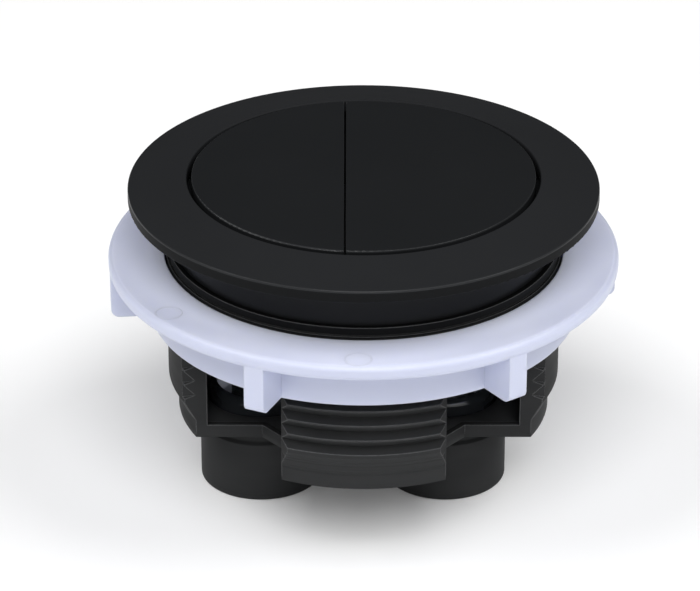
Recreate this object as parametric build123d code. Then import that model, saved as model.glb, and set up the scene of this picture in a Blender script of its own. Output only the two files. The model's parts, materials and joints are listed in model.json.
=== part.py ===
from build123d import *
import os

os.makedirs("parts", exist_ok=True)

# Driving dimensions, millimetres. z is 0 under the cups, the front of the button looks along -Y.
# The half-flush side is at -X and the full-flush side at +X.

# Heights of the housing
cup_height = 9.3
floor_underside_z = 12.7
floor_thickness = 0.8
sill_z = 14.7
window_top_z = 31.0
body_height = 39.15
neck_height = 6.8
flange_edge = 1.85
flange_rise = 1.35

# Bezel, from its lip outwards
lip_radius = 25.5
lip_depth = 2.0
lip_reach = 0.6
neck_wall = 1.5
flange_overhang = 6.4
spigot_wall = 0.7
spigot_length = 4.0
flange_edge_round = 0.3
lip_edge_round = 0.2

# Body
collar_wall = 1.45
collar_drop = 1.2
thread_wall = 1.8
thread_depth = 1.4
thread_pitch = 2.36
thread_grooves = 7
groove_width = 2.16
groove_low_flank = 0.66
first_groove_drop = 3.85
lead_in_z = 18.3
lead_in_end_z = 15.5
cage_wall = 1.5
sector_half_width = 11.7
arm_half_width = 12.4
corner_cut_x = 3.0
corner_cut_y = 3.5
ridge_end_slope = 0.45
arm_notch_slope = 0.41
sill_wall = 1.0

# Cups that guide the plungers
half_axis_x = -15.1
full_axis_x = 12.1
cup_radius = 9.07
cup_wall = 1.07
cup_floor = 1.2
cup_ledge = 0.42
cup_edge_round = 0.4
rod_hole_radius = 3.8

# Button caps
split_x = -2.68
split_gap = 0.3
cap_clearance = 0.7
cap_proud = 0.18
cap_plate = 2.0
cap_depth = 7.0
cap_wall = 1.3
cap_edge_round = 0.2
tab_reach = 1.0
tab_height = 1.6
tab_width = 6.0
tab_spread = 50.0
tab_clearance = 0.35
post_radius = 3.1
post_length = 8.0
rib_width = 1.2
rib_depth = 3.5

# Plungers
travel = 6.0
plunger_clearance = 0.3
plunger_wall = 0.9
plunger_top_z = 15.9
plunger_plate = 1.2
plunger_round = 1.1
plunger_end_gap = 0.4
tube_radius = 4.4
stem_radius = 3.5
stem_end_gap = 0.2
socket_radius = 2.5
socket_depth = 12.0

# Return springs
wire = 0.9
wire_sides = 6
spring_radius = 5.0
spring_turns = 6
spring_seat_gap = 0.05

# Lock nut
nut_clearance = 0.3
nut_overhang = 5.85
nut_drop = 1.55
nut_flange = 2.2
nut_edge_round = 0.8
nut_wall = 2.2
nut_skirt = 6.9
lug_count = 6
lug_width = 3.0
lug_setback = 0.15
lug_round = 1.2
lug_first_angle = 245.5

# Fits and run-out of the cuts
press_fit = 0.1
cut_margin = 1.0
same_radius = 0.001

# Sizes that follow from those
floor_top_z = floor_underside_z + floor_thickness
lid_seat_z = body_height + neck_height
flange_edge_z = lid_seat_z + flange_edge
rim_z = flange_edge_z + flange_rise
cap_top_z = rim_z + cap_proud
cap_under_z = cap_top_z - cap_plate
cap_bottom_z = cap_top_z - cap_depth
cap_radius = lip_radius - cap_clearance
lip_under_z = rim_z - lip_depth
neck_bore = lip_radius + lip_reach
neck_radius = neck_bore + neck_wall
flange_radius = neck_radius + flange_overhang
spigot_radius = neck_bore + spigot_wall
spigot_end_z = body_height - spigot_length
collar_bore = spigot_radius + press_fit
collar_step_z = spigot_end_z - press_fit
collar_radius = collar_bore + collar_wall
thread_radius = collar_bore + thread_wall
thread_root = thread_radius - thread_depth
cage_radius = thread_root - cage_wall
first_groove_z = body_height - first_groove_drop
cup_bore = cup_radius - cup_wall
plunger_radius = cup_bore - plunger_clearance
plunger_end_z = cup_floor + travel + plunger_end_gap
plunger_under_z = plunger_top_z - plunger_plate
stem_end_z = cup_floor + travel - stem_end_gap
nut_bore = thread_radius + nut_clearance
nut_skirt_radius = nut_bore + nut_wall
nut_radius = nut_skirt_radius + nut_overhang
lug_reach = nut_radius - lug_setback
nut_top_z = body_height - nut_drop
nut_under_z = nut_top_z - nut_flange
nut_bottom_z = nut_under_z - nut_skirt
lug_high_z = nut_under_z + nut_flange / 2


def turned(points):
    """A solid of revolution about Z from a closed outline of (radius, z) points."""
    outline = Plane.XZ * Polyline(*points, close=True)
    return revolve(make_face(outline), axis=Axis.Z)


def pillar(radius, low, high, x=0.0):
    """An upright cylinder between two heights."""
    return Pos(x, 0, low) * Cylinder(radius, high - low, align=(Align.CENTER, Align.CENTER, Align.MIN))


def block(x_ends, y_ends, z_ends):
    """A box between two ends each way."""
    spans = (x_ends, y_ends, z_ends)
    size = [max(ends) - min(ends) for ends in spans]
    centre = [(ends[0] + ends[1]) / 2 for ends in spans]
    return Pos(*centre) * Box(*size)


def ring_edges(solid, radius):
    """Round edges of one radius."""
    rings = solid.edges().filter_by(GeomType.CIRCLE)
    return rings.filter_by(lambda edge: abs(edge.radius - radius) < same_radius)


def make_bezel():
    """Conical flange, retaining lip and neck with the spigot that plugs into the body."""
    bezel = turned([
        (lip_radius, rim_z),
        (flange_radius, flange_edge_z),
        (flange_radius, lid_seat_z),
        (neck_radius, lid_seat_z),
        (neck_radius, body_height),
        (spigot_radius, body_height),
        (spigot_radius, spigot_end_z),
        (neck_bore, spigot_end_z),
        (neck_bore, lip_under_z),
        (lip_radius, lip_under_z),
    ])
    bezel = fillet(ring_edges(bezel, flange_radius), flange_edge_round)
    return fillet(ring_edges(bezel, lip_radius), lip_edge_round)


def lead_in():
    """Outer side of the body below its thread: a taper to the root, then straight down."""
    return [(thread_radius, lead_in_z), (thread_root, lead_in_end_z), (thread_root, floor_underside_z)]


def thread_outline():
    """Outer side of the threaded wall from the collar down to the foot of the lead-in."""
    collar_low_z = body_height - collar_drop
    points = [(collar_radius, body_height), (collar_radius, collar_low_z), (thread_radius, collar_low_z)]
    for index in range(thread_grooves):
        high = first_groove_z - index * thread_pitch
        low = high - groove_width
        points += [(thread_radius, high), (thread_root, low + groove_low_flank), (thread_radius, low)]
    return points + lead_in()


def make_body():
    """Threaded cage: collar, four legs between four windows, floor with raised sills, and two cups."""
    body = turned(
        [(collar_bore, body_height)]
        + thread_outline()
        + [
            (0, floor_underside_z),
            (0, floor_top_z),
            (cage_radius, floor_top_z),
            (cage_radius, collar_step_z),
            (collar_bore, collar_step_z),
        ]
    )
    reach = thread_radius + cut_margin
    arm_corner_x = (thread_root**2 - arm_half_width**2) ** 0.5
    arm_end_y = arm_half_width - arm_notch_slope * (reach - arm_corner_x)
    arm = make_face(Polyline(
        (sector_half_width, -arm_half_width),
        (arm_corner_x, -arm_half_width),
        (reach, -arm_end_y),
        (reach, arm_end_y),
        (arm_corner_x, arm_half_width),
        (sector_half_width, arm_half_width),
        close=True,
    ))
    arm_block = extrude(arm, body_height)
    plain = turned(
        [(cage_radius, collar_step_z), (thread_radius, collar_step_z)]
        + lead_in()
        + [(cage_radius, floor_underside_z)]
    )
    plain &= arm_block + mirror(arm_block, Plane.YZ)
    ridge_foot_y = (thread_root**2 - sector_half_width**2) ** 0.5
    corner = make_face(Polyline(
        (sector_half_width, arm_half_width + corner_cut_y),
        (sector_half_width + corner_cut_x, arm_half_width),
        (reach, arm_half_width),
        (reach, reach),
        (sector_half_width - ridge_end_slope * (reach - ridge_foot_y), reach),
        (sector_half_width, ridge_foot_y),
        close=True,
    ))
    window = extrude(corner, window_top_z)
    sill = extrude(offset(corner, sill_wall, kind=Kind.INTERSECTION), sill_z)
    sill &= pillar((cage_radius + thread_root) / 2, floor_underside_z, sill_z)
    for side in (Plane.XZ, Plane.YZ):
        window += mirror(window, side)
        sill += mirror(sill, side)
    body = body + plain + sill - window
    cup = turned([
        (0, 0),
        (cup_radius, 0),
        (cup_radius, cup_height),
        (cup_radius - cup_ledge, cup_height + cup_ledge),
        (cup_radius - cup_ledge, floor_top_z),
        (0, floor_top_z),
    ])
    cup = fillet(cup.edges().group_by(Axis.Z)[0], cup_edge_round)
    for x in (half_axis_x, full_axis_x):
        body += Pos(x, 0, 0) * cup
    for x in (half_axis_x, full_axis_x):
        body -= pillar(cup_bore, cup_floor, sill_z, x)
        body -= pillar(rod_hole_radius, -cut_margin, cup_floor, x)
    return body


def make_cap(side, axis_x):
    """One button cap: plate and skirt of its segment, retaining tabs, ribs and the post over its plunger."""
    edge_x = split_x + side * split_gap / 2
    far_x = side * lip_radius
    across = (-lip_radius, lip_radius)
    cap = pillar(cap_radius, cap_bottom_z, cap_top_z)
    cap &= block((edge_x, far_x), across, (0, cap_top_z))
    cap = fillet(cap.faces().sort_by(Axis.Z)[-1].edges(), cap_edge_round)
    hollow = pillar(cap_radius - cap_wall, cap_bottom_z, cap_under_z)
    hollow &= block((edge_x + side * cap_wall, far_x), across, (0, cap_top_z))
    cap -= hollow
    rib_ends = (cap_under_z - rib_depth, cap_under_z)
    ribs = block(across, (-rib_width / 2, rib_width / 2), rib_ends)
    ribs += block((axis_x - rib_width / 2, axis_x + rib_width / 2), across, rib_ends)
    cap += (ribs - pillar(tube_radius + press_fit, *rib_ends, axis_x)) & hollow
    cap += pillar(post_radius, cap_under_z - post_length, cap_under_z, axis_x)
    tab_top_z = lip_under_z - tab_clearance
    tab_ends = (tab_top_z - tab_height, tab_top_z)
    tab_ring = pillar(cap_radius + tab_reach, *tab_ends) - pillar(cap_radius - cap_wall / 2, *tab_ends)
    tab = tab_ring & block((0, side * neck_radius), (-tab_width / 2, tab_width / 2), tab_ends)
    for angle in (-tab_spread, 0, tab_spread):
        cap += Rot(0, 0, angle) * tab
    return cap


def make_plunger(axis_x):
    """Skirted plunger: tube up to the cap's post, rounded head and stem with the rod socket."""
    plunger = pillar(plunger_radius, plunger_end_z, plunger_top_z)
    plunger = fillet(plunger.edges().group_by(Axis.Z)[-1], plunger_round)
    plunger -= pillar(plunger_radius - plunger_wall, plunger_end_z, plunger_under_z)
    plunger += pillar(tube_radius, plunger_under_z, cap_under_z)
    plunger += pillar(stem_radius, stem_end_z, plunger_top_z)
    plunger -= pillar(post_radius + press_fit, cap_under_z - post_length - cut_margin, cap_under_z)
    plunger -= pillar(socket_radius, stem_end_z, stem_end_z + socket_depth)
    return Pos(axis_x, 0, 0) * plunger


def make_spring(axis_x):
    """Return spring between the cup's floor and the plunger's head."""
    low = cup_floor + spring_seat_gap + wire / 2
    rise = plunger_under_z - spring_seat_gap - wire / 2 - low
    coil = Helix(pitch=rise / spring_turns, height=rise, radius=spring_radius)
    section = Plane(origin=coil @ 0, z_dir=coil % 0) * RegularPolygon(wire / 2, wire_sides)
    return Pos(axis_x, 0, low) * sweep(section, path=coil, is_frenet=True)


def make_lock_nut():
    """Clamping flange, skirt and finger lugs."""
    nut = turned([
        (nut_bore, nut_top_z),
        (nut_radius, nut_top_z),
        (nut_radius, nut_under_z),
        (nut_skirt_radius, nut_under_z),
        (nut_skirt_radius, nut_bottom_z),
        (nut_bore, nut_bottom_z),
    ])
    nut = fillet(ring_edges(nut, nut_radius), nut_edge_round)
    lug_ends = (nut_bore + nut_wall / 2, lug_reach)
    lug = block(lug_ends, (-lug_width / 2, lug_width / 2), (nut_bottom_z, lug_high_z))
    lug = fillet(lug.edges().filter_by(Axis.Y).group_by(Axis.Z)[0].sort_by(Axis.X)[-1], lug_round)
    for index in range(lug_count):
        nut += Rot(0, 0, lug_first_angle + index * 360 / lug_count) * lug
    return nut


nodes = {
    "bezel": make_bezel(),
    "body": make_body(),
    "lock_nut": make_lock_nut(),
    "half_flush_cap": make_cap(-1, half_axis_x),
    "full_flush_cap": make_cap(1, full_axis_x),
    "half_flush_plunger": make_plunger(half_axis_x),
    "full_flush_plunger": make_plunger(full_axis_x),
    "half_flush_spring": make_spring(half_axis_x),
    "full_flush_spring": make_spring(full_axis_x),
}
for name, solid in nodes.items():
    export_step(solid, f"parts/{name}.step")
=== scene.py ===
import bpy, json, math
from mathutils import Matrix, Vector

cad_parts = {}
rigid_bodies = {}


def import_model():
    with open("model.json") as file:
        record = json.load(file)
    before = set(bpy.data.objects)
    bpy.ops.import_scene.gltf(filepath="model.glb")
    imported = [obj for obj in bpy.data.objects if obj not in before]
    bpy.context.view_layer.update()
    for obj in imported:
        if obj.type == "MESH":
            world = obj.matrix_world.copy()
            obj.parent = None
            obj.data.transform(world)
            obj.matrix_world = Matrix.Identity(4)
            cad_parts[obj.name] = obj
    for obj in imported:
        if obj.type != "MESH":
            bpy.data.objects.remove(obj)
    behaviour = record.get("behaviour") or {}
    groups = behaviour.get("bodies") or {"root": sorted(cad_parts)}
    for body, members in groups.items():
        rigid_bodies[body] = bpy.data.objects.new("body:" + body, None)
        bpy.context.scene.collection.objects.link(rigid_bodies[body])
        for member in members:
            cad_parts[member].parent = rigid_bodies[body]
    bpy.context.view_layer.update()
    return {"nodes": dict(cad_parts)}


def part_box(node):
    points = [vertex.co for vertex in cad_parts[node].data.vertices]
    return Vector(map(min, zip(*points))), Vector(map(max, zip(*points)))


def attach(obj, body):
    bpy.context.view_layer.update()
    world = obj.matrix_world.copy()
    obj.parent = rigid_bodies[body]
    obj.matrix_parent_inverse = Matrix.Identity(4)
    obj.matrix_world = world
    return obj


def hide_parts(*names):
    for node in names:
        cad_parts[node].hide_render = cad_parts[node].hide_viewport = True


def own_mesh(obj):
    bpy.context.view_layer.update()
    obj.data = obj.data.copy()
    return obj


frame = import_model()
nodes = frame["nodes"]
scene = bpy.context.scene
mm = 0.001
print("frame loaded:", len(nodes), "nodes")

# camera: fitted to the photo's ellipses, image taken as 700 x 591
cameraSet = {
    "imageWidth": 700, "imageHeight": 591,
    "elevation": 25.93,          # degrees above the plane of the bezel's edge
    "distance": 549.6 * mm,      # to the centre of that plane
    "edgeDrop": 1.35 * mm,       # that plane below the bezel's rim
    "focalPixels": 3813,
    "aimPixel": (363.6, 182.8),  # where that centre lands in the photo
    "sensor": 36, "clip": (0.01, 20),
}


def makeCamera():
    target = Vector((0, 0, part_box("bezel")[1].z - cameraSet["edgeDrop"]))
    focal, distance = cameraSet["focalPixels"], cameraSet["distance"]
    data = bpy.data.cameras.new("photoCamera")
    data.sensor_width = cameraSet["sensor"]
    data.lens = focal / cameraSet["imageWidth"] * data.sensor_width
    data.dof.use_dof = False
    data.clip_start, data.clip_end = cameraSet["clip"]
    camera = bpy.data.objects.new("photoCamera", data)
    scene.collection.objects.link(camera)
    elev = math.radians(cameraSet["elevation"])
    right = cameraSet["aimPixel"][0] - cameraSet["imageWidth"] / 2
    above = cameraSet["imageHeight"] / 2 - cameraSet["aimPixel"][1]
    tilt = elev + math.atan(above / focal)
    side = -right / focal * distance
    back = Vector((0, -math.cos(elev), math.sin(elev))) * distance
    camera.location = target + back + Vector((side, 0, 0))
    camera.rotation_euler = (math.pi / 2 - tilt, 0, 0)
    scene.camera = camera
    print("camera ready, lens", round(data.lens, 1))


makeCamera()

noiseSpan = (0.3, 0.7)  # most of a noise pattern's values lie in this span
edgeSet = {
    "samples": 6,
    "turn": (0.82, 0.97),  # match of true and rounded normal: painted edge highlight below, plain above
    "open": (0.55, 0.8),   # open share of the space in front: a corner below, free above
}


# materials: each tree starts from a Principled shader and Object coordinates
class Shade:
    def __init__(self, name):
        self.mat = bpy.data.materials.new(name)
        self.mat.use_nodes = True
        self.tree = self.mat.node_tree
        self.shader = self.tree.nodes["Principled BSDF"]
        self.coordNode = self.node("ShaderNodeTexCoord")
        self.coords = self.coordNode.outputs["Object"]

    def node(self, kind, **settings):
        made = self.tree.nodes.new(kind)
        for key, value in settings.items():
            setattr(made, key, value)
        return made

    def link(self, start, end):
        self.tree.links.new(start, end)

    def noise(self, scale, detail, stretch=None):
        made = self.node("ShaderNodeTexNoise")
        made.inputs["Scale"].default_value = scale
        made.inputs["Detail"].default_value = detail
        if stretch:
            mapping = self.node("ShaderNodeMapping")
            mapping.inputs["Scale"].default_value = stretch
            self.link(self.coords, mapping.inputs["Vector"])
            self.link(mapping.outputs["Vector"], made.inputs["Vector"])
        else:
            self.link(self.coords, made.inputs["Vector"])
        return made.outputs["Fac"]

    def spread(self, source, low, high, edges=noiseSpan):
        made = self.node("ShaderNodeMapRange")
        ends = {"From Min": edges[0], "From Max": edges[1], "To Min": low, "To Max": high}
        for key, value in ends.items():
            made.inputs[key].default_value = value
        self.link(source, made.inputs["Value"])
        return made.outputs["Result"]

    # low where the share is 0, high where it is 1
    def fade(self, share, low, high):
        return self.spread(share, low, high, (0, 1))

    def ramp(self, source, dark, light):
        made = self.node("ShaderNodeValToRGB")
        stops = made.color_ramp.elements
        stops[0].position, stops[1].position = noiseSpan
        stops[0].color, stops[1].color = (*dark, 1), (*light, 1)
        self.link(source, made.inputs["Fac"])
        return made.outputs["Color"]

    def bump(self, source, strength, depth, after=None):
        made = self.node("ShaderNodeBump")
        made.inputs["Strength"].default_value = strength
        made.inputs["Distance"].default_value = depth
        self.link(source, made.inputs["Height"])
        if after:
            self.link(after, made.inputs["Normal"])
        return made.outputs["Normal"]

    def rounded(self, radius):
        made = self.node("ShaderNodeBevel", samples=edgeSet["samples"])
        made.inputs["Radius"].default_value = radius
        return made.outputs["Normal"]

    # 1 along open convex edges, 0 on faces and in corners: the mask of a painted edge highlight
    def edgeHighlightMask(self, rounding, reach):
        faces = self.node("ShaderNodeNewGeometry").outputs["Normal"]
        match = self.node("ShaderNodeVectorMath", operation="DOT_PRODUCT")
        self.link(faces, match.inputs[0])
        self.link(rounding, match.inputs[1])
        cover = self.node("ShaderNodeAmbientOcclusion", samples=edgeSet["samples"])
        cover.inputs["Distance"].default_value = reach
        turned = self.spread(match.outputs["Value"], 1, 0, edgeSet["turn"])
        return self.both(turned, self.spread(cover.outputs["AO"], 0, 1, edgeSet["open"]))

    # a Mix node repeats its sockets' names for each type, so they are told apart by identifier
    def blend(self, share, first, second):
        made = self.node("ShaderNodeMix", data_type="RGBA")
        sockets = {one.identifier: one for one in (*made.inputs, *made.outputs)}
        self.link(share, sockets["Factor_Float"])
        self.link(first, sockets["A_Color"])
        sockets["B_Color"].default_value = (*second, 1)
        return sockets["Result_Color"]

    def along(self, vector, axis):
        parts = self.node("ShaderNodeSeparateXYZ")
        self.link(vector, parts.inputs["Vector"])
        return parts.outputs[axis]

    # 1 between two places along an axis of the part, 0 outside them
    def band(self, low, high, soft, axis="Z"):
        place = self.along(self.coords, axis)
        rise = self.spread(place, 0, 1, (low, low + soft))
        fall = self.spread(place, 1, 0, (high - soft, high))
        return self.both(rise, fall)

    # 1 on faces that look along an axis, either way, 0 on those that look across it
    def facing(self, axis, edges):
        size = self.node("ShaderNodeMath", operation="ABSOLUTE")
        self.link(self.along(self.coordNode.outputs["Normal"], axis), size.inputs[0])
        return self.spread(size.outputs["Value"], 0, 1, edges)

    # distance from the part's upright axis
    def radius(self):
        flat = self.node("ShaderNodeVectorMath", operation="MULTIPLY")
        flat.inputs[1].default_value = (1, 1, 0)
        self.link(self.coords, flat.inputs[0])
        length = self.node("ShaderNodeVectorMath", operation="LENGTH")
        self.link(flat.outputs["Vector"], length.inputs[0])
        return length.outputs["Value"]

    def both(self, first, second, operation="MULTIPLY"):
        made = self.node("ShaderNodeMath", operation=operation)
        self.link(first, made.inputs[0])
        self.link(second, made.inputs[1])
        return made.outputs["Value"]

    def put(self, **values):
        for key, value in values.items():
            socket = self.shader.inputs[key.replace("_", " ")]
            if isinstance(value, bpy.types.NodeSocket):
                self.link(value, socket)
            else:
                socket.default_value = value


# satin black of the caps and the bezel, with a little shine on the rounded edge of the top: more
# specular there, and a lighter colour as a painted highlight
satinSet = {
    "capDark": (0.0106, 0.0113, 0.0121), "capLight": (0.0118, 0.0125, 0.0134),
    "bezelDark": (0.0154, 0.0161, 0.0173), "bezelLight": (0.0169, 0.0176, 0.0189),
    "clouds": 45, "roughness": 0.50, "specular": 0.04,
    "peel": 900, "peelDepth": 0.006 * mm, "peelStrength": 0.5,
    "grain": 5200, "grainDepth": 0.012 * mm, "grainStrength": 0.6,
    # the edge band's lighter colour is a painted highlight; its specular and roughness are real
    # shine
    "edgeHighlightTone": (0.022, 0.023, 0.0245), "edgeSpecular": 0.16, "edgeRoughness": 0.28,
    "edgeHeight": 0.3 * mm, "edgeSoft": 0.03 * mm, "capEdgeDrop": 0.02 * mm,
}


# edgeTop is the height where the shiny edge ends, just below the top face
def makeSatin(name, dark, light, edgeTop):
    s = Shade(name)
    clouds = s.noise(satinSet["clouds"], detail=3)
    peel = s.noise(satinSet["peel"], detail=1)
    grain = s.noise(satinSet["grain"], detail=2)
    peelBump = s.bump(peel, satinSet["peelStrength"], satinSet["peelDepth"])
    # band under the top's rim: real extra shine, and a painted highlight in its colour
    edge = s.band(edgeTop - satinSet["edgeHeight"], edgeTop, satinSet["edgeSoft"])
    look = {
        "tone": s.blend(edge, s.ramp(clouds, dark, light), satinSet["edgeHighlightTone"]),
        "specular": s.fade(edge, satinSet["specular"], satinSet["edgeSpecular"]),
        "roughness": s.fade(edge, satinSet["roughness"], satinSet["edgeRoughness"]),
    }
    s.put(
        Base_Color=look["tone"], Roughness=look["roughness"],
        Specular_IOR_Level=look["specular"],
        Normal=s.bump(grain, satinSet["grainStrength"], satinSet["grainDepth"], peelBump),
    )
    return s, look


def makeCap():
    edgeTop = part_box("full_flush_cap")[1].z - satinSet["capEdgeDrop"]
    return makeSatin("satinCap", satinSet["capDark"], satinSet["capLight"], edgeTop)[0].mat


# the bezel's outer side wall carries painted shade, darker than its top, and its neck is a little
# glossier
bezelSet = {
    "edgeTop": 1.33 * mm, "sideTop": 1.66 * mm,  # these and the next two are below the rim
    "seat": 3.2 * mm, "neckFoot": 12 * mm,
    "sideShadeTone": (0.0086, 0.0090, 0.0096), "soft": 0.06 * mm,
    "neckSpecular": 0.08, "neckRoughness": 0.32,
}


def makeBezel():
    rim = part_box("bezel")[1].z
    edgeTop, seat, soft = rim - bezelSet["edgeTop"], rim - bezelSet["seat"], bezelSet["soft"]
    s, look = makeSatin("satinBezel", satinSet["bezelDark"], satinSet["bezelLight"], edgeTop)
    # painted shade: the outer side wall below the shiny edge takes a darker colour
    side = s.band(seat, rim - bezelSet["sideTop"], soft)
    neck = s.band(rim - bezelSet["neckFoot"], seat, soft)
    neckSpecular = s.fade(neck, 0, bezelSet["neckSpecular"])
    neckRoughness = s.fade(neck, 1, bezelSet["neckRoughness"])
    s.put(
        Base_Color=s.blend(side, look["tone"], bezelSet["sideShadeTone"]),
        Specular_IOR_Level=s.both(look["specular"], neckSpecular, "MAXIMUM"),
        Roughness=s.both(look["roughness"], neckRoughness, "MINIMUM"),
    )
    return s.mat


# moulded black of the body: painted shade on the collar and the side faces, painted light on the
# inner floor, painted highlights along open edges, run-out lines of the thread
mouldedSet = {
    "dark": (0.0276, 0.0283, 0.0290), "light": (0.0334, 0.0342, 0.0348),
    "flow": 60, "flowStretch": (1, 1, 5), "roughness": (0.48, 0.60), "specular": 0.06,
    "grain": 2600, "grainDepth": 0.02 * mm, "grainStrength": 0.35,
    "edge": 0.28 * mm, "edgeHighlightTone": (0.170, 0.171, 0.174), "edgeReach": 1.2 * mm,
    "collarShadeTone": (0.0078, 0.0081, 0.0084), "collarSoft": 0.1 * mm, "collarReach": 6 * mm,
    "runOut": ((16.5 * mm, 17.5 * mm), (14.8 * mm, 15.4 * mm)), "runOutSoft": 0.25 * mm,
    "runOutHalf": 11.6 * mm, "runOutDepth": 0.16 * mm, "runOutStrength": 0.7,
    "cageFoot": 13.1 * mm, "cageReach": 40 * mm, "cageSoft": 0.5 * mm,  # above the cups
    "sideShadeTone": (0.0175, 0.0179, 0.0183), "sideTurn": (0.45, 0.95),
    "deckLightTone": (0.095, 0.097, 0.099), "deckTurn": (0.9, 0.98),
    "deckHeight": 1.2 * mm, "deckSoft": 0.1 * mm,
}


def makeMoulded():
    s = Shade("mouldedBlack")
    flow = s.noise(mouldedSet["flow"], 4, mouldedSet["flowStretch"])
    grain = s.noise(mouldedSet["grain"], detail=3)
    edge = s.rounded(mouldedSet["edge"])
    half, lineSoft = mouldedSet["runOutHalf"], mouldedSet["runOutSoft"]
    lines = [s.band(low, high, lineSoft) for low, high in mouldedSet["runOut"]]
    runOut = s.both(s.both(*lines, "ADD"), s.band(-half, half, lineSoft, "X"))
    threaded = s.bump(
        s.fade(runOut, 1, 0), mouldedSet["runOutStrength"], mouldedSet["runOutDepth"], edge)
    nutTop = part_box("lock_nut")[1].z  # the collar stands above it
    # painted shade: the collar under the bezel's flange takes a darker colour
    collar = s.band(nutTop, nutTop + mouldedSet["collarReach"], mouldedSet["collarSoft"])
    foot = mouldedSet["cageFoot"]
    cage = s.band(foot, foot + mouldedSet["cageReach"], mouldedSet["cageSoft"])
    # painted shade: the cage's faces that look sideways take a darker colour
    shadedSides = s.both(cage, s.facing("X", mouldedSet["sideTurn"]))
    # painted light: the top of the inner floor takes a much paler colour
    deck = s.both(
        s.band(foot, foot + mouldedSet["deckHeight"], mouldedSet["deckSoft"]),
        s.facing("Z", mouldedSet["deckTurn"]))
    # painted highlight: open edges of the cage take a much lighter colour
    paintedEdgeHighlight = s.both(cage, s.edgeHighlightMask(edge, mouldedSet["edgeReach"]))
    tone = s.ramp(flow, mouldedSet["dark"], mouldedSet["light"])
    layers = ((collar, "collarShadeTone"), (shadedSides, "sideShadeTone"), (deck, "deckLightTone"), (paintedEdgeHighlight, "edgeHighlightTone"))
    for share, key in layers:
        tone = s.blend(share, tone, mouldedSet[key])
    s.put(
        Base_Color=tone, Roughness=s.spread(flow, *mouldedSet["roughness"]),
        Specular_IOR_Level=mouldedSet["specular"],
        Normal=s.bump(grain, mouldedSet["grainStrength"], mouldedSet["grainDepth"], threaded),
    )
    return s.mat


# white plastic of the nut: painted light makes its top lighter than its sides, most of all near the
# neck, and painted shade darkens its sides
whiteSet = {
    "sideShadeTone": (0.575, 0.606, 0.748), "topTurn": (0.90, 0.995),
    "topDark": (0.650, 0.682, 0.834), "topLight": (0.680, 0.708, 0.852),
    "innerLightTone": (0.762, 0.796, 0.952), "innerReach": (29 * mm, 35.5 * mm),
    "mottle": 110, "roughness": (0.34, 0.46), "edge": 0.25 * mm,
    "grain": 1800, "grainDepth": 0.015 * mm, "grainStrength": 0.3,
    "glow": 0.25, "glowReach": (1.0, 1.0, 1.2), "glowScale": 1.6 * mm,
}


def makeWhite():
    s = Shade("whitePlastic")
    mottle = s.noise(whiteSet["mottle"], detail=3)
    grain = s.noise(whiteSet["grain"], detail=2)
    edge = s.rounded(whiteSet["edge"])
    # painted light: the top grows lighter towards the neck, against the shade under the bezel
    inner = s.spread(s.radius(), 1, 0, whiteSet["innerReach"])
    top = s.ramp(mottle, whiteSet["topDark"], whiteSet["topLight"])
    top = s.blend(inner, top, whiteSet["innerLightTone"])
    # painted shade: faces that do not look up take the darker side colour
    shadedSides = s.fade(s.facing("Z", whiteSet["topTurn"]), 1, 0)
    s.put(
        Base_Color=s.blend(shadedSides, top, whiteSet["sideShadeTone"]),
        Roughness=s.spread(mottle, *whiteSet["roughness"]),
        Subsurface_Weight=whiteSet["glow"], Subsurface_Radius=whiteSet["glowReach"],
        Subsurface_Scale=whiteSet["glowScale"],
        Normal=s.bump(grain, whiteSet["grainStrength"], whiteSet["grainDepth"], edge),
    )
    return s.mat


# glossy dark grey of the plungers, which stand in the shade of the windows
glossSet = {
    "dark": (0.066, 0.074, 0.083), "light": (0.078, 0.086, 0.096), "clouds": 160,
    "wave": 420, "waveDepth": 0.02 * mm, "waveStrength": 0.2, "roughness": (0.12, 0.2),
    "coat": 1.0, "coatRoughness": 0.06, "coatDensity": 1.9,
}


def makeGloss():
    s = Shade("glossBlack")
    clouds = s.noise(glossSet["clouds"], detail=3)
    wave = s.noise(glossSet["wave"], detail=1)
    s.put(
        Base_Color=s.ramp(clouds, glossSet["dark"], glossSet["light"]),
        Roughness=s.spread(clouds, *glossSet["roughness"]),
        Normal=s.bump(wave, glossSet["waveStrength"], glossSet["waveDepth"]),
        Coat_Weight=glossSet["coat"], Coat_Roughness=glossSet["coatRoughness"],
        Coat_IOR=glossSet["coatDensity"],
    )
    return s.mat


# drawn wire of the springs
steelSet = {
    "dark": (0.42, 0.42, 0.43), "light": (0.60, 0.60, 0.61), "roughness": (0.22, 0.38),
    "draw": 900, "drawStretch": (1, 1, 9), "drawDepth": 0.01 * mm, "drawStrength": 0.3,
}


def makeSteel():
    s = Shade("springSteel")
    draw = s.noise(steelSet["draw"], 2, steelSet["drawStretch"])
    s.put(
        Base_Color=s.ramp(draw, steelSet["dark"], steelSet["light"]),
        Roughness=s.spread(draw, *steelSet["roughness"]), Metallic=1.0,
        Normal=s.bump(draw, steelSet["drawStrength"], steelSet["drawDepth"]),
    )
    return s.mat


satinCap, satinBezel, moulded = makeCap(), makeBezel(), makeMoulded()
white, gloss, steel = makeWhite(), makeGloss(), makeSteel()
nodeLooks = {
    "bezel": satinBezel, "half_flush_cap": satinCap, "full_flush_cap": satinCap,
    "body": moulded, "lock_nut": white,
    "half_flush_plunger": gloss, "full_flush_plunger": gloss,
    "half_flush_spring": steel, "full_flush_spring": steel,
}
for nodeName, look in nodeLooks.items():
    nodeMesh = nodes[nodeName].data
    nodeMesh.materials.clear()
    nodeMesh.materials.append(look)
print("materials on", len(nodeLooks), "nodes")


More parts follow.
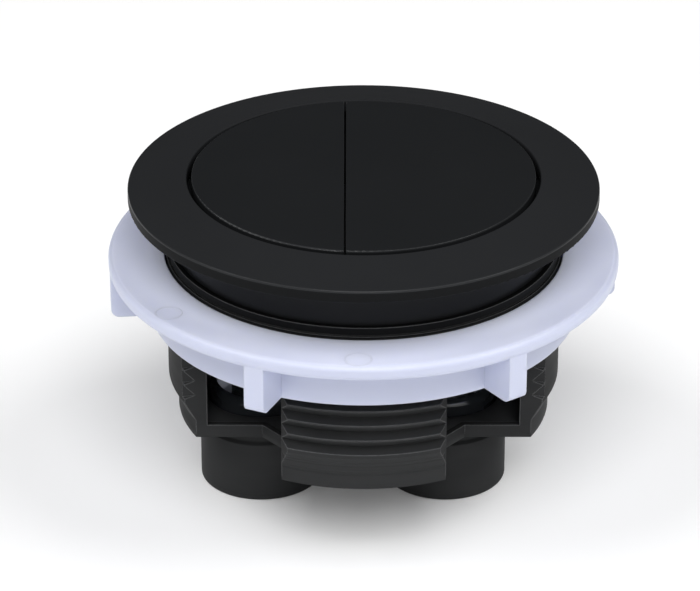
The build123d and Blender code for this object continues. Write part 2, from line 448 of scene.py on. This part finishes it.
# Geometry Nodes: a small helper builds a tree with named inputs, then bakes it to a plain mesh
class Tree:
    def __init__(self, name, inputs):
        self.tree = bpy.data.node_groups.new(name, "GeometryNodeTree")
        self.socket("Geometry", "OUTPUT", "Geometry")
        self.ids = {key: self.socket(key, "INPUT", kind) for key, kind in inputs.items()}
        self.given = self.node("NodeGroupInput").outputs

    def socket(self, name, way, kind):
        kind = "NodeSocket" + kind
        return self.tree.interface.new_socket(name, in_out=way, socket_type=kind).identifier

    # a source is a socket, a node, which gives its first output, or a plain value
    def node(self, kind, links=(), **settings):
        made = self.tree.nodes.new(kind)
        for key, value in settings.items():
            setattr(made, key, value)
        for key, source in dict(links).items():
            if isinstance(source, bpy.types.Node):
                source = source.outputs[0]
            if isinstance(source, bpy.types.NodeSocket):
                self.tree.links.new(source, made.inputs[key])
            else:
                made.inputs[key].default_value = source
        return made

    def end(self, geometry):
        whole = self.node("GeometryNodeRealizeInstances", {"Geometry": geometry})
        smooth = self.node("GeometryNodeSetShadeSmooth", {"Geometry": whole})
        painted = self.node("GeometryNodeSetMaterial", {
            "Geometry": smooth, "Material": self.given["Material"]})
        self.node("NodeGroupOutput", {"Geometry": painted})

    def bake(self, name, values):
        holder = bpy.data.objects.new(name, bpy.data.meshes.new(name))
        scene.collection.objects.link(holder)
        modifier = holder.modifiers.new("shape", "NODES")
        modifier.node_group = self.tree
        for key, value in values.items():
            modifier[self.ids[key]] = value
        bpy.context.view_layer.update()
        shown = holder.evaluated_get(bpy.context.evaluated_depsgraph_get())
        mesh = bpy.data.meshes.new_from_object(shown)
        holder.modifiers.remove(modifier)
        holder.data = mesh
        mesh.name = name
        return holder


# return springs: round wire with a closed turn at each end, between cup floor and plunger
springSet = {
    "turns": 6.0, "endRise": 0.065,  # share of the rise in each end turn
    "wireRadius": 0.385 * mm, "wireSides": 14, "pointsPerTurn": 40,
    "inset": 0.01 * mm, "travel": 6 * mm,
}


def springTree():
    t = Tree("returnSpring", {
        "Turns": "Float", "Coil Radius": "Float", "Wire Radius": "Float", "Rise": "Float",
        "Foot": "Vector", "Material": "Material"})
    coil = t.node("GeometryNodeCurveSpiral", {
        "Resolution": springSet["pointsPerTurn"], "Rotations": t.given["Turns"], "Height": 0.0,
        "Start Radius": t.given["Coil Radius"], "End Radius": t.given["Coil Radius"]})
    along = t.node("GeometryNodeSplineParameter").outputs["Factor"]
    climb = t.node("ShaderNodeFloatCurve", {"Value": along})
    curve = climb.mapping.curves[0]
    endTurn, endRise = 1 / springSet["turns"], springSet["endRise"]
    for place in ((endTurn, endRise), (1 - endTurn, 1 - endRise)):
        curve.points.new(*place)
    for point in curve.points:
        point.handle_type = "VECTOR"
    climb.mapping.update()
    height = t.node("ShaderNodeMath", {0: climb, 1: t.given["Rise"]}, operation="MULTIPLY")
    lift = t.node("ShaderNodeCombineXYZ", {"Z": height})
    offset = t.node("ShaderNodeVectorMath", {0: lift, 1: t.given["Foot"]}, operation="ADD")
    placed = t.node("GeometryNodeSetPosition", {"Geometry": coil, "Offset": offset})
    ring = t.node("GeometryNodeCurvePrimitiveCircle", {
        "Resolution": springSet["wireSides"], "Radius": t.given["Wire Radius"]})
    t.end(t.node("GeometryNodeCurveToMesh", {
        "Curve": placed, "Profile Curve": ring, "Fill Caps": True}))
    return t


def makeSprings():
    tree = springTree()
    radius, inset = springSet["wireRadius"], springSet["inset"]
    for side in ("half_flush", "full_flush"):
        low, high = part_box(side + "_spring")
        tall = high.z - low.z
        foot = ((low.x + high.x) / 2, (low.y + high.y) / 2, low.z + radius + inset)
        spring = tree.bake(side + "_springWire", {
            "Turns": springSet["turns"], "Coil Radius": (high.x - low.x) / 2 - radius,
            "Wire Radius": radius, "Rise": tall - 2 * (radius + inset),
            "Foot": foot, "Material": steel})
        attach(spring, "housing")
        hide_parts(side + "_spring")
        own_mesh(spring)
    print("springs wound")


makeSprings()

# faint ejector marks on the nut's flange: low soft rings, two of them in view
markSet = {
    "count": 2, "circle": 34.5 * mm, "firstAngle": 217.3, "step": 51.3,  # degrees round the nut
    "radius": 1.85 * mm, "shadedSides": 40,
    "bead": 0.3 * mm, "beadRise": 0.03 * mm, "beadSides": 32,  # only its crown is above the top
}


def makeMarks():
    t = Tree("ejectorMarks", {
        "Count": "Int", "Circle": "Float", "First Angle": "Float", "Sweep": "Float",
        "Place": "Vector", "Mark Radius": "Float", "Bead": "Float", "Material": "Material"})
    arc = t.node("GeometryNodeCurveArc", {
        "Resolution": t.given["Count"], "Radius": t.given["Circle"],
        "Start Angle": t.given["First Angle"], "Sweep Angle": t.given["Sweep"]})
    ring = t.node("GeometryNodeCurvePrimitiveCircle", {
        "Resolution": markSet["shadedSides"], "Radius": t.given["Mark Radius"]})
    bead = t.node("GeometryNodeCurvePrimitiveCircle", {
        "Resolution": markSet["beadSides"], "Radius": t.given["Bead"]})
    mark = t.node("GeometryNodeCurveToMesh", {"Curve": ring, "Profile Curve": bead})
    copies = t.node("GeometryNodeInstanceOnPoints", {"Points": arc, "Instance": mark})
    t.end(t.node("GeometryNodeTransform", {"Geometry": copies, "Translation": t.given["Place"]}))
    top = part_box("lock_nut")[1].z
    marks = t.bake("nutMarks", {
        "Count": markSet["count"], "Circle": markSet["circle"],
        "First Angle": math.radians(markSet["firstAngle"]),
        "Sweep": math.radians(markSet["step"] * (markSet["count"] - 1)),
        "Place": (0, 0, top - markSet["bead"] + markSet["beadRise"]),
        "Mark Radius": markSet["radius"], "Bead": markSet["bead"], "Material": white})
    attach(marks, "lock_nut")
    print("nut marks placed:", markSet["count"])


makeMarks()

# stage: pale floor, soft lights from high in front, low in front and both sides, dim surroundings
stageSet = {
    "floorSize": 6.0, "floorGap": 0.02 * mm, "floorTone": (0.9, 0.9, 0.9, 1),
    "floorRoughness": 0.9, "floorGlow": 0.10,
    "worldTone": (0.05, 0.05, 0.053, 1), "lightAim": (0, 0, 0.03),
    "lights": (  # name, degrees right of the front, degrees up, distance, width, height, watts
        ("highBox", 0, 52, 1.2, 0.7, 0.7, 7.8), ("frontBox", 6, 25, 1.3, 2.0, 0.9, 1.6),
        ("leftBox", -80, 52, 1.2, 0.8, 0.8, 6.6), ("rightBox", 80, 52, 1.2, 0.8, 0.8, 7.6),
    ),
}


def makeFloor():
    mesh = bpy.data.meshes.new("floor")
    h, z = stageSet["floorSize"] / 2, -stageSet["floorGap"]
    mesh.from_pydata([(-h, -h, z), (h, -h, z), (h, h, z), (-h, h, z)], [], [(0, 1, 2, 3)])
    floor = bpy.data.objects.new("floor", mesh)
    scene.collection.objects.link(floor)
    paper = Shade("floorPaper")
    paper.put(
        Base_Color=stageSet["floorTone"], Roughness=stageSet["floorRoughness"],
        Emission_Color=stageSet["floorTone"], Emission_Strength=stageSet["floorGlow"],
    )
    mesh.materials.append(paper.mat)


def areaLight(name, azimuth, elevation, distance, width, height, power):
    data = bpy.data.lights.new(name, "AREA")
    data.shape, data.size, data.size_y, data.energy = "ELLIPSE", width, height, power
    light = bpy.data.objects.new(name, data)
    scene.collection.objects.link(light)
    turn, lift = math.radians(azimuth), math.radians(elevation)
    level = math.cos(lift)
    toward = Vector((math.sin(turn) * level, -math.cos(turn) * level, math.sin(lift)))
    light.location = toward * distance
    look = Vector(stageSet["lightAim"]) - toward * distance
    light.rotation_euler = look.to_track_quat("-Z", "Y").to_euler()


def makeStage():
    makeFloor()
    world = bpy.data.worlds.new("studio")
    world.use_nodes = True
    world.node_tree.nodes["Background"].inputs["Color"].default_value = stageSet["worldTone"]
    scene.world = world
    for row in stageSet["lights"]:
        areaLight(*row)
    scene.view_settings.view_transform = "Standard"
    print("stage ready")


makeStage()
